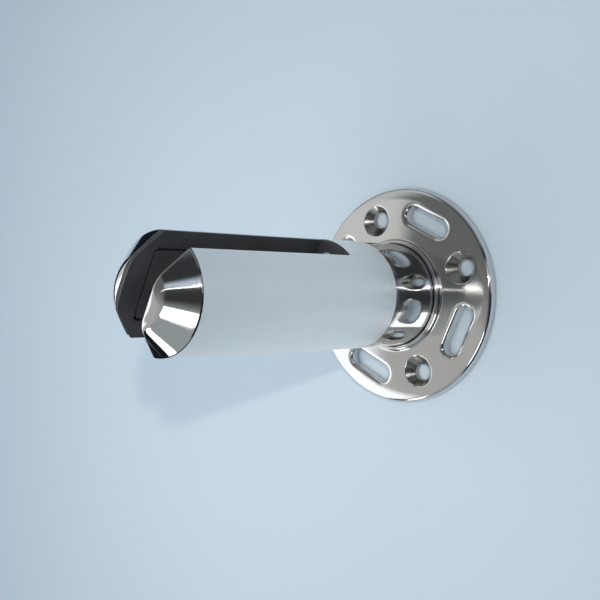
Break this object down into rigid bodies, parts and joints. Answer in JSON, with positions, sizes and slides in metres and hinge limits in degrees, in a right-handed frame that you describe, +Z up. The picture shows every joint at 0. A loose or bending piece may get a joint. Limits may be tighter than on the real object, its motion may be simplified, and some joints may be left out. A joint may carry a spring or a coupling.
{
  "type": "glass balustrade spigot",
  "caption": "Round stainless post on a drilled base plate, with a slotted top whose lined jaws clamp the lower edge of a glass pane.",
  "frame": {"origin": "centre of the base plate's underside", "axes": "+Z up the body, X along the glass slot, Y across the slot with the clamping jaw at +Y"},
  "size_m": [0.105, 0.105, 0.17],
  "materials": {
    "polished_steel": "mirror polished stainless steel",
    "satin_steel": "fine brushed satin stainless steel with polished neck and top",
    "plain_steel": "machined stainless steel",
    "screw_steel": "plain turned stainless steel",
    "black_rubber": "fine matt moulded rubber"
  },
  "bodies": {
    "post": {"base_flange": "polished_steel", "spigot_body": "satin_steel", "fixed_jaw_liner": "black_rubber", "clamp_jaw_liner": "black_rubber", "setting_block": "black_rubber", "centre_bolt": "screw_steel", "anti_turn_pin": "plain_steel", "hub_seal_ring": "black_rubber"},
    "clamp_plate": {"pressure_plate": "plain_steel", "pressure_pad": "black_rubber", "snap_ring_upper": "screw_steel", "snap_ring_lower": "screw_steel"},
    "upper_screw": {"clamp_screw_upper": "screw_steel"},
    "lower_screw": {"clamp_screw_lower": "screw_steel"}
  },
  "joints": [
    {"name": "plate_slide", "type": "slide", "parent": "post", "child": "clamp_plate", "axis": [0, -1, 0], "range_m": [0, 0.0035]},
    {"name": "upper_screw_turn", "type": "hinge", "parent": "clamp_plate", "child": "upper_screw", "pos_m": [0, 0.019, 0.1395], "axis": [0, -1, 0], "range_deg": [0, 720]},
    {"name": "lower_screw_turn", "type": "hinge", "parent": "clamp_plate", "child": "lower_screw", "pos_m": [0, 0.019, 0.0995], "axis": [0, -1, 0], "range_deg": [0, 720]}
  ],
  "couplings": [
    {"joint": "upper_screw_turn", "follows": "plate_slide", "rad_per_m": 3590},
    {"joint": "lower_screw_turn", "follows": "plate_slide", "rad_per_m": 3590}
  ]
}
